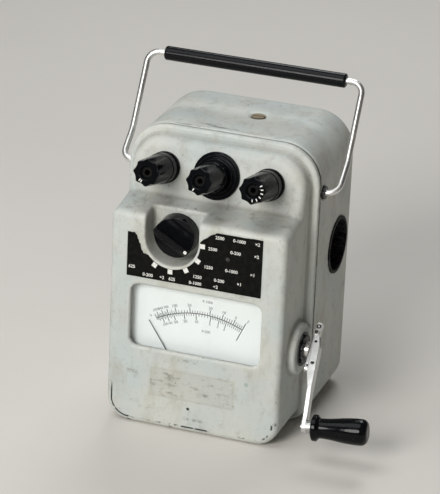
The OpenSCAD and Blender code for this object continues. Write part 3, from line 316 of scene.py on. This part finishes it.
# tone, dull tone, roughness, spots, painted shade in grooves, grain
metalLook = {
    "nickel": ((0.76, 0.75, 0.72, 1), (0.60, 0.585, 0.55, 1), 0.22, 0.16),
    "armNickel": ((0.74, 0.745, 0.735, 1), (0.64, 0.635, 0.615, 1), 0.40, 0.12, 0.92),
    "rodNickel": ((0.74, 0.735, 0.72, 1), (0.64, 0.63, 0.61, 1), 0.36, 0.05, 0.0, 0.06),
    "steel": ((0.50, 0.50, 0.485, 1), (0.34, 0.33, 0.30, 1), 0.34, 0.5),
    "darkSteel": ((0.085, 0.083, 0.078, 1), (0.05, 0.048, 0.043, 1), 0.42, 0.5),
    "brass": ((0.52, 0.40, 0.21, 1), (0.30, 0.22, 0.12, 1), 0.34, 0.6),
    "agedBrass": ((0.24, 0.195, 0.130, 1), (0.13, 0.105, 0.072, 1), 0.44, 0.6),
    "copper": ((0.50, 0.22, 0.11, 1), (0.30, 0.12, 0.06, 1), 0.36, 0.3),
}
# tone, other tone, roughness, scale, bump, shine
dullLook = {
    # near-black finish of the painted shadow rings
    "rubber": ((0.010, 0.010, 0.009, 1), (0.024, 0.023, 0.020, 1), 0.75),
    # near-black brass: tarnish, partly painted shade of the deep terminal sockets
    "oldBrass": ((0.0045, 0.0045, 0.0046, 1), (0.011, 0.0100, 0.0085, 1), 0.56, 400.0, 0.00004, 0.05),
    "paperSeal": ((0.46, 0.46, 0.42, 1), (0.36, 0.355, 0.32, 1), 0.80),
    "iron": ((0.055, 0.055, 0.056, 1), (0.085, 0.080, 0.072, 1), 0.55),
    "board": ((0.24, 0.125, 0.045, 1), (0.31, 0.17, 0.070, 1), 0.50),
    "plateBlack": ((0.0050, 0.0054, 0.0050, 1), (0.0095, 0.0095, 0.0085, 1), 0.44, 260.0, 0.00003, 0.045),
    "dialWhite": ((0.935, 0.978, 0.975, 1), (0.915, 0.962, 0.955, 1), 0.60, 40.0, 0.00001, 0.2),
}
# tone, faded tone, wear
inkLook = {
    "inkBlack": ((0.016, 0.017, 0.019, 1), (0.10, 0.10, 0.10, 1), 0.5),
    "inkWhite": ((0.82, 0.82, 0.78, 1), (0.45, 0.45, 0.42, 1), 0.6),
}
finishes = {"casePaint": makeCasePaint(), "seamSeal": makeSeal(), "windowGlass": makeGlass()}
for make, looks in ((makeBakelite, bakeliteLook), (makeMetal, metalLook), (makeDull, dullLook), (makeInk, inkLook)):
    for name, look in looks.items():
        finishes[name] = make(name, *look)
print("finishes", len(finishes))

# CAD nodes that keep their own mesh
keptLook = {
    "seamSeal": ["case_gasket"],
    "paperSeal": ["window_seal"],
    "steel": ["case_screws", "chassis_plate", "chassis_screws", "gear_plate", "end_plate", "frame_pillars",
              "idler_stud", "rotor_shaft", "rotor_pinion", "dial_screws", "meter_screws", "switch_shaft",
              "grip_spindle"],
    "darkSteel": ["plate_rivet"],
    "agedBrass": ["top_screw"],
    "brass": ["crank_bearing", "crank_gear", "idler_gear", "front_bridge", "rear_bridge", "terminal_nuts"],
    # terminal studs and washers near-black: tarnish, partly painted shade of the deep sockets
    "oldBrass": ["terminal_studs", "left_washer", "middle_washer", "right_washer"],
    "nickel": ["crank_shaft", "crank_collar", "fold_pin"],
    "bakelite": ["handle_bushes", "crank_washer", "resistors"],
    "iron": ["stator", "rotor", "meter_magnet", "meter_core"],
    "copper": ["stator_windings", "moving_coil"],
    "board": ["switch_body", "resistor_board"],
    "cupBlack": ["stowage_cup"],
    "dialWhite": ["dial_plate"],
    "windowGlass": ["window_glass"],
}
for finish, names in keptLook.items():
    for name in names:
        mesh = nodes[name].data
        mesh.materials.clear()
        mesh.materials.append(finishes[finish])
print("kept nodes", sum(len(names) for names in keptLook.values()))


def addPiece(name, mesh, body, finish, slot, *stood):
    piece = bpy.data.objects.new(name, mesh)
    scene.collection.objects.link(piece)
    mesh.materials.clear()
    mesh.materials.append(finishes[finish])
    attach(piece, body)
    if stood:
        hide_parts(*stood)
    return piece


def mergedMesh(name):
    mesh = nodes[name].data.copy()
    bm = bmesh.new()
    bm.from_mesh(mesh)
    bmesh.ops.remove_doubles(bm, verts=bm.verts, dist=2e-6)
    bm.to_mesh(mesh)
    bm.free()
    return mesh


def softCopy(node, name, finish, slot, voxel, passes):  # the node's form with cast or moulded edges
    draft = bpy.data.objects.new(name + "Draft", mergedMesh(node))
    scene.collection.objects.link(draft)
    remesh = draft.modifiers.new("remesh", "REMESH")
    remesh.mode = "VOXEL"
    remesh.voxel_size = voxel * mm
    smooth = draft.modifiers.new("smooth", "SMOOTH")
    smooth.factor = 0.5
    smooth.iterations = passes
    mesh = bpy.data.meshes.new_from_object(draft.evaluated_get(bpy.context.evaluated_depsgraph_get()))
    bpy.data.objects.remove(draft)
    mesh.name = name
    mesh.shade_smooth()
    print(name, "faces", len(mesh.polygons))
    return addPiece(name, mesh, nodes[node]["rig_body"], finish, slot, node)


softLook = {
    "front_cover": ("coverCasting", "casePaint", "case_paint", 1.25, 4),
    "rear_case": ("rearCasting", "casePaint", "case_paint", 1.5, 4),
    "left_terminal": ("leftCap", "bakelite", "bakelite", 0.36, 2),
    "middle_terminal": ("middleCap", "bakelite", "bakelite", 0.36, 2),
    "right_terminal": ("rightCap", "bakelite", "bakelite", 0.36, 2),
    "terminal_collars": ("plainCollars", "bakelite", "bakelite", 0.40, 3),
    "guard_collar": ("steppedCollar", "bakelite", "bakelite", 0.40, 3),
    "range_knob": ("ridgedKnob", "gloss", "bakelite", 0.32, 2),
    "handle_grip": ("handleSleeve", "sleeve", "bakelite", 0.55, 3),
    "crank_grip": ("turnedGrip", "gloss", "bakelite", 0.42, 3),
    "handle_rod": ("bentRod", "rodNickel", "nickel", 0.45, 3),
    "crank_arm": ("pressedArm", "armNickel", "nickel", 0.28, 3),
    "crank_lever": ("forgedLever", "armNickel", "nickel", 0.26, 2),
}
for node, look in softLook.items():
    softCopy(node, *look)
print("soft copies", len(softLook))


def newMesh(name, bm):
    mesh = bpy.data.meshes.new(name)
    bm.to_mesh(mesh)
    bm.free()
    return mesh


def letters(bm, text, size, place, thick=0.04, side="CENTER", bold=0.0):  # plain numbers, set into bm
    curve = bpy.data.curves.new("numbers", "FONT")
    curve.body = text
    curve.size = size * mm
    curve.align_x = side
    curve.offset = bold * mm
    curve.align_y = "CENTER"
    curve.extrude = thick * mm / 2
    curve.resolution_u = 3
    draft = bpy.data.objects.new("numbers", curve)
    scene.collection.objects.link(draft)
    mesh = bpy.data.meshes.new_from_object(draft.evaluated_get(bpy.context.evaluated_depsgraph_get()))
    bpy.data.objects.remove(draft)
    mesh.transform(place)
    bm.from_mesh(mesh)
    bpy.data.meshes.remove(mesh)


upright = turned(90, "X")  # text that faces the front


def stroke(bm, place, width, length, thick):  # a thin printed bar along its own Z
    size = Matrix.Diagonal((width * mm, thick * mm, length * mm, 1))
    bmesh.ops.create_cube(bm, size=1.0, matrix=place @ size)


def pull(bm, faces, depth):  # gives flat faces a thickness towards the front
    pulled = bmesh.ops.extrude_face_region(bm, geom=faces)
    moved = [v for v in pulled["geom"] if isinstance(v, bmesh.types.BMVert)]
    bmesh.ops.translate(bm, verts=moved, vec=(0, -depth * mm, 0))
    bmesh.ops.recalc_face_normals(bm, faces=bm.faces)


# Dial print: angles in degrees from upright, lengths outward from the arc
dialLook = {
    "face": -47.0, "thick": 0.05, "lift": 0.01, "arc": 75.5, "from": -29.3, "to": 24.4, "line": 0.62, "steps": 48,
    "tick": 0.42, "short": 2.2, "middle": 3.2, "stop": 0.58, "outerReach": 4.6, "innerReach": 5.2, "gap": 1.6,
    "size": 3.2, "smallSize": 2.7, "crowded": -20, "dense": 9, "last": 24,
    "bars": [(24.4, -10.5, 6.5, 0.62), (-29.3, -1.5, 3.5, 0.50)],
    "extra": [(25.0, 8.6, "2", 3.2), (-31.8, 3.4, "0", 2.6), (2.0, 10.8, "0-1000", 2.9), (2.4, -13.6, "0-200", 2.9)],
    "outer": [(-27.6, "1000"), (-24.6, "500"), (-21.4, "200"), (-16.4, "100"), (-7.9, "50"), (3.9, "20"),
              (11.4, "10"), (18.4, "5"), (24.4, "2")],
    "inner": [(-25.8, "200"), (-22.4, "100"), (-18.2, "50"), (-11.8, "20"), (-4.4, "10"), (4.5, "5"),
              (9.8, "3"), (14.3, "2"), (24.4, "1")],
}


def makeDialPrint():
    look = dialLook
    arc = look["arc"]
    bm = bmesh.new()
    y = look["face"] - look["thick"] / 2 - look["lift"]
    pivot = Matrix.Translation(at(meterPivot[0], y, meterPivot[1]))

    def spoke(angle, r0, r1, width):
        middle = Matrix.Translation((0, 0, (r0 + r1) / 2 * mm))
        stroke(bm, pivot @ turned(angle, "Y") @ middle, width, r1 - r0, look["thick"])

    def mark(angle, radius, text, size):
        place = pivot @ turned(angle, "Y") @ Matrix.Translation((0, 0, radius * mm)) @ upright
        letters(bm, text, size, place, look["thick"])

    start = look["from"]
    lean = math.radians(start)
    ends = []
    for radius in (arc - look["line"] / 2, arc + look["line"] / 2):
        ends.append(bm.verts.new(pivot @ (Vector((math.sin(lean), 0, math.cos(lean))) * radius * mm)))
    line = bm.edges.new(ends)
    bmesh.ops.spin(bm, geom=[line, *ends], cent=pivot.translation, axis=(0, 1, 0),
                   angle=math.radians(look["to"] - start), steps=look["steps"])
    pull(bm, bm.faces[:], look["thick"])
    scales = ((look["outer"], 1, look["outerReach"]), (look["inner"], -1, look["innerReach"]))
    for scale, sign, reach in scales:
        stops = [start] + [angle for angle, text in scale]
        for a, b in zip(stops, stops[1:]):
            parts = 8 if b - a > 9 else 5 if b - a > 5 else 4 if b - a > 2.6 else 2
            for i in range(1, parts):
                tick = look["middle"] if a > look["dense"] or parts == 4 and i == 2 else look["short"]
                spoke(a + (b - a) * i / parts, arc, arc + sign * tick, look["tick"])
        for angle, text in scale:
            spoke(angle, arc, arc + sign * reach, look["stop"])
            if angle < look["last"]:
                size = look["size"] if angle > look["crowded"] else look["smallSize"]
                mark(angle, arc + sign * (reach + look["gap"]), text, size)
    for angle, inside, outside, width in look["bars"]:
        spoke(angle, arc + inside, arc + outside, width)
    for angle, off, text, size in look["extra"]:
        mark(angle, arc + off, text, size)
    print("dial print faces", len(bm.faces))
    addPiece("dialPrint", newMesh("dialPrint", bm), "case", "inkBlack", "plate_black")


makeDialPrint()

needleLook = {"rest": -33.5, "plane": -48.9, "length": 77.0, "tail": 7.7, "wide": 1.1, "tip": 0.5, "thick": 0.4,
              "edge": 0.08, "hub": (2.4, 1.6), "staff": (0.8, -50.5, -23.0)}


def makeNeedle():
    look = needleLook
    bm = bmesh.new()
    x, z = meterPivot
    pivot = Matrix.Translation(at(x, look["plane"], z)) @ turned(look["rest"], "Y")
    middle = Matrix.Translation((0, 0, (look["length"] - look["tail"]) / 2 * mm))
    stroke(bm, pivot @ middle, look["wide"], look["length"] + look["tail"], look["thick"])
    far = [v for v in bm.verts if (pivot.inverted() @ v.co).z > 0]
    bmesh.ops.scale(bm, vec=(look["tip"] / look["wide"], 1, 1), space=pivot.inverted(), verts=far)
    bmesh.ops.bevel(bm, geom=bm.edges[:], offset=look["edge"] * mm, affect="EDGES", segments=1, profile=0.5,
                    material=-1)
    radius, depth = look["hub"]
    bmesh.ops.create_cone(bm, cap_ends=True, segments=32, radius1=radius * mm, radius2=radius * mm,
                          depth=depth * mm, matrix=Matrix.Translation(at(x, look["plane"], z)) @ upright)
    radius, y0, y1 = look["staff"]
    bmesh.ops.create_cone(bm, cap_ends=True, segments=24, radius1=radius * mm, radius2=radius * mm,
                          depth=(y1 - y0) * mm, matrix=Matrix.Translation(at(x, (y0 + y1) / 2, z)) @ upright)
    addPiece("thinNeedle", newMesh("thinNeedle", bm), "needle", "plateBlack", "plate_black", "meter_needle")


makeNeedle()

# Range plate with torn edges on both sides of the knob's recess
plateLook = {
    "face": -58.0, "thick": 0.6, "left": -55.0, "right": 50.8, "low": 121.23, "high": 167.03,
    "lift": 0.02, "rim": 22.9, "rimFrom": 157.4, "rimTo": 140.0, "steps": 30, "tear": 0.35, "cuts": 4, "seed": 11,
    "strip": [(-55.0, 156.3), (-50.2, 156.3), (-48.0, 154.6), (-46.4, 151.0), (-44.8, 146.5), (-42.6, 141.0)],
    "corner": [(5.6, 160.6), (10.0, 164.2), (15.4, 166.9)],
    "ticks": [0, -30, -60, -90, -120], "tickSize": 3.7,
}


def makeRangePlate():
    look = plateLook
    rng = random.Random(look["seed"])
    bm = bmesh.new()
    kx, kz = knobCentre
    rim = look["rim"]
    y = look["face"] - look["lift"]

    def corner(x, z):
        return bm.verts.new(at(x, y, z))

    rise = look["rimFrom"] - kz
    rimStart = math.atan2(rise, math.sqrt(rim ** 2 - rise ** 2))
    rimEnd = math.asin((kz - look["rimTo"]) / rim) - math.pi
    first = corner(kx + rim * math.cos(rimStart), kz + rim * math.sin(rimStart))
    bmesh.ops.spin(bm, geom=[first], cent=at(kx, y, kz), axis=(0, 1, 0), angle=rimStart - rimEnd, steps=look["steps"])
    bm.verts.ensure_lookup_table()
    chain = bm.verts[-1]
    straight = [(look["left"], look["low"]), (look["right"], look["low"]), (look["right"], look["high"])]
    torn = []
    for points, ragged in ((look["strip"][::-1], True), (straight, False), (look["corner"][::-1], True)):
        for x, z in points:
            following = corner(x, z)
            edge = bm.edges.new((chain, following))
            if ragged:
                torn.append(edge)
            chain = following
    torn.append(bm.edges.new((chain, first)))
    split = bmesh.ops.subdivide_edges(bm, edges=torn, cuts=look["cuts"])
    for v in split["geom_inner"]:
        if isinstance(v, bmesh.types.BMVert):
            v.co.x += rng.uniform(-1, 1) * look["tear"] * mm
            v.co.z += rng.uniform(-1, 1) * look["tear"] * mm
    face = bmesh.ops.contextual_create(bm, geom=bm.edges[:])["faces"][0]
    if face.normal.y > 0:
        bmesh.ops.reverse_faces(bm, faces=[face])
    pull(bm, [face], look["thick"] - look["lift"])
    bmesh.ops.triangulate(bm, faces=[f for f in bm.faces if len(f.verts) > 4])
    print("range plate faces", len(bm.faces))
    addPiece("rangeLabel", newMesh("rangeLabel", bm), "case", "plateBlack", "plate_black", "range_plate")


makeRangePlate()
rangeNumbers = {
    "top": -58.6, "thick": 0.05, "lift": 0.01, "size": 3.5, "bold": 0.07, "middle": 0.54,
    "rows": [(13.8, 48.6, 163.4, ("2500", "0-1000", "\u00d72")), (8.6, 48.2, 153.6, ("2500", "0-200", "\u00d72")),
             (5.8, 45.8, 138.6, ("1250", "0-1000", "\u00d71")), (-2.6, 35.8, 129.4, ("1250", "0-200", "\u00d71")),
             (-21.6, 17.4, 124.0, ("625", "0-1000", "\u00f72")), (-53.6, -25.0, 124.0, ("", "0-200", "\u00f72"))],
    "single": (-53.6, 128.8, "625"),
}


def makePlatePrint():
    look = rangeNumbers
    plate = plateLook
    bm = bmesh.new()
    y = look["top"] - look["thick"] / 2 - look["lift"]

    def number(x, z, text, side):
        place = Matrix.Translation(at(x, y, z)) @ upright
        letters(bm, text, look["size"], place, look["thick"], side, look["bold"])

    for x0, x1, z, (first, second, third) in look["rows"]:
        number(x0, z, first, "LEFT")
        number(x0 + (x1 - x0) * look["middle"], z, second, "CENTER")
        number(x1, z, third, "RIGHT")
    number(*look["single"], "LEFT")
    kx, kz = knobCentre
    reach = Matrix.Translation((0, 0, (plate["rim"] + plate["tickSize"] / 2) * mm))
    for angle in plate["ticks"]:
        place = Matrix.Translation(at(kx, y, kz)) @ turned(90 - angle, "Y") @ reach
        stroke(bm, place, plate["tickSize"], plate["tickSize"], look["thick"])
    addPiece("rangePrint", newMesh("rangePrint", bm), "case", "inkWhite", "dial_white")


makePlatePrint()


def seat(node, x, z):  # the front surface of a node at x, z
    mesh = nodes[node].data
    tree = BVHTree.FromPolygons([v.co for v in mesh.vertices], [p.vertices for p in mesh.polygons])
    hit = tree.ray_cast(at(x, -200, z), Vector((0, 1, 0)))[0]
    return hit.y / mm + seamBack


knobMark = {"angle": -30, "radius": 13.5, "size": 1.55, "taper": 0.86, "thick": 0.25, "sink": 0.1}


def makeKnobDot():
    look = knobMark
    lean = math.radians(look["angle"])
    x = knobCentre[0] + look["radius"] * math.cos(lean)
    z = knobCentre[1] + look["radius"] * math.sin(lean)
    y = seat("range_knob", x, z)
    print("knob dot on", round(y, 2))
    bm = bmesh.new()
    place = Matrix.Translation(at(x, y + look["sink"], z)) @ upright
    radius = look["size"] * mm
    bmesh.ops.create_cone(bm, cap_ends=True, segments=28, radius1=radius, radius2=radius * look["taper"],
                          depth=look["thick"] * 2 * mm, matrix=place)
    addPiece("knobDot", newMesh("knobDot", bm), "knob", "inkWhite", "dial_white")


makeKnobDot()

# White paint strokes left on the ends of the terminal caps
tipLook = {
    "lean": 13.5, "panel": (-21.0, 196.448), "tip": 40.8, "ring": 7.5, "size": (0.8, 2.0), "thick": 0.06,
    "marks": [("left", -41.2, [-128, -116]), ("middle", 0.0, [-120]), ("right", 41.2, [34, 12, -10, -34, -58, -84])],
}


def makeTipMarks():
    look = tipLook
    tilt = turned(90 - look["lean"], "X")
    reach = Matrix.Translation((0, -look["ring"] * mm, 0))
    for side, x, angles in look["marks"]:
        bm = bmesh.new()
        face = Matrix.Translation(at(x, *look["panel"])) @ tilt @ Matrix.Translation((0, 0, look["tip"] * mm))
        for angle in angles:
            stroke(bm, face @ turned(angle + 90, "Z") @ reach @ upright, *look["size"], look["thick"])
        addPiece(side + "TipMark", newMesh(side + "TipMark", bm), side + "_cap", "inkWhite", "dial_white")


makeTipMarks()
print("printed marks")

# Painted shadow rings near the lever's tip, in the fold pin's heads and in the arm's holes:
# name, body, share of the arm's angle, place from the pin, distance out, inner and outer radius, thickness
ringLook = {
    "shaft": (83.0, -24.0, 70.8), "lean": -48.6, "fold": 13.6, "out": -5.5,
    "rings": [("tipShadowRings", "crank", 0.0, (0.0, 5.8), 2.72, 0.90, 1.85, 0.09),
              ("pinShadowRings", "arm", 1.0, (0.0, 0.0), 5.13, 0.25, 1.35, 0.08),
              ("holeShadowRings", "arm", 1.0, (0.7, -7.4), 3.25, 0.04, 0.97, 0.10)],
}


def makeRings():
    look = ringLook
    lever = Matrix.Translation(at(*look["shaft"])) @ turned(look["lean"], "X")
    pin = lever @ Matrix.Translation((0, 0, look["fold"] * mm))
    for name, body, swung, (x, z), off, inner, outer, thick in look["rings"]:
        bm = bmesh.new()
        hold = pin @ turned(look["out"] * swung, "Y")
        for side in (-1, 1):
            middle = Matrix.Translation(Vector((x, side * (off + thick / 2), z)) * mm)
            corners = ((inner, -1), (outer, -1), (outer, 1), (inner, 1))
            loop = [bm.verts.new(Vector((r, up * thick / 2, 0)) * mm) for r, up in corners]
            sides = [bm.edges.new((loop[i], loop[(i + 1) % 4])) for i in range(4)]
            bmesh.ops.spin(bm, geom=loop + sides, cent=(0, 0, 0), axis=(0, 1, 0), angle=math.tau, steps=36,
                           use_merge=True)
            fresh = [v for v in bm.verts if not v.tag]
            bmesh.ops.transform(bm, matrix=hold @ middle, verts=fresh)
            for v in bm.verts:
                v.tag = True
        bmesh.ops.remove_doubles(bm, verts=bm.verts, dist=1e-6)
        bmesh.ops.recalc_face_normals(bm, faces=bm.faces)
        addPiece(name, newMesh(name, bm), body, "rubber", "nickel")


makeRings()
print("rings", len(ringLook["rings"]))

# Studio
cameraLook = {"turn": 18.70, "rise": 22.68, "roll": 2.56, "away": 2.2835, "lens": 218.6, "sensor": 36,
              "shift": (0.000761, -0.02870), "clip": (0.05, 60)}


def makeCamera():
    look = cameraLook
    a, e, r = [math.radians(look[key]) for key in ("turn", "rise", "roll")]
    back = Vector((math.sin(a) * math.cos(e), -math.cos(a) * math.cos(e), math.sin(e)))
    right = Vector((math.cos(a), math.sin(a), 0))
    up = back.cross(right)
    across = right * math.cos(r) + up * math.sin(r)
    above = up * math.cos(r) - right * math.sin(r)
    spot = Vector(aimPoint) - across * look["shift"][0] - above * look["shift"][1] + back * look["away"]
    data = bpy.data.cameras.new("camera")
    data.lens = look["lens"]
    data.sensor_width = look["sensor"]
    data.clip_start, data.clip_end = look["clip"]
    camera = bpy.data.objects.new("camera", data)
    scene.collection.objects.link(camera)
    camera.matrix_world = Matrix.Translation(spot) @ Matrix((across, above, back)).transposed().to_4x4()
    scene.camera = camera


makeCamera()

# Place, size, power and colour of each lamp
lampLook = {
    "key": ((-0.36, -2.08, 1.15), 1.0, 38.0, (1.0, 0.99, 0.97)),
    "top": ((-0.46, -0.42, 1.62), 1.2, 8.4, (0.97, 0.99, 1.0)),
    "back": ((-0.15, 1.25, 1.55), 1.0, 13.0, (0.97, 0.99, 1.0)),
    "fill": ((1.5, -0.9, 0.7), 1.2, 0.3, (1.0, 0.78, 0.52)),
}
skyLook = ((0.95, 0.94, 0.92, 1), 0.085)


def makeLamps():
    for name, (spot, size, power, colour) in lampLook.items():
        data = bpy.data.lights.new(name, "AREA")
        data.shape = "DISK"
        data.size = size
        data.energy = power
        data.color = colour
        lamp = bpy.data.objects.new(name, data)
        scene.collection.objects.link(lamp)
        aim = Vector(aimPoint) - Vector(spot)
        lamp.matrix_world = Matrix.Translation(spot) @ aim.to_track_quat("-Z", "Y").to_matrix().to_4x4()
    world = bpy.data.worlds.new("studio")
    scene.world = world
    world.use_nodes = True
    sky = world.node_tree.nodes["Background"]
    for socket, value in zip(sky.inputs, skyLook):
        socket.default_value = value


makeLamps()
floorLook = {"size": 4.0, "cells": 24, "tones": ((0.700, 0.672, 0.628, 1), (0.720, 0.692, 0.648, 1)), "rough": 0.9}


def makeFloor():
    look = floorLook
    bm = bmesh.new()
    bmesh.ops.create_grid(bm, x_segments=look["cells"], y_segments=look["cells"], size=look["size"])
    mesh = newMesh("floor", bm)
    floor = bpy.data.objects.new("floor", mesh)
    scene.collection.objects.link(floor)
    p = Paint("floorPaper")
    colour = p.mix(p.ramp(p.noise(3.0, 3.0), 0.3, 0.7), *look["tones"])
    mesh.materials.append(p.finish(Base_Color=colour, Roughness=look["rough"]))


makeFloor()
print("studio", len(lampLook), "lamps")
scene.view_settings.view_transform = "Standard"
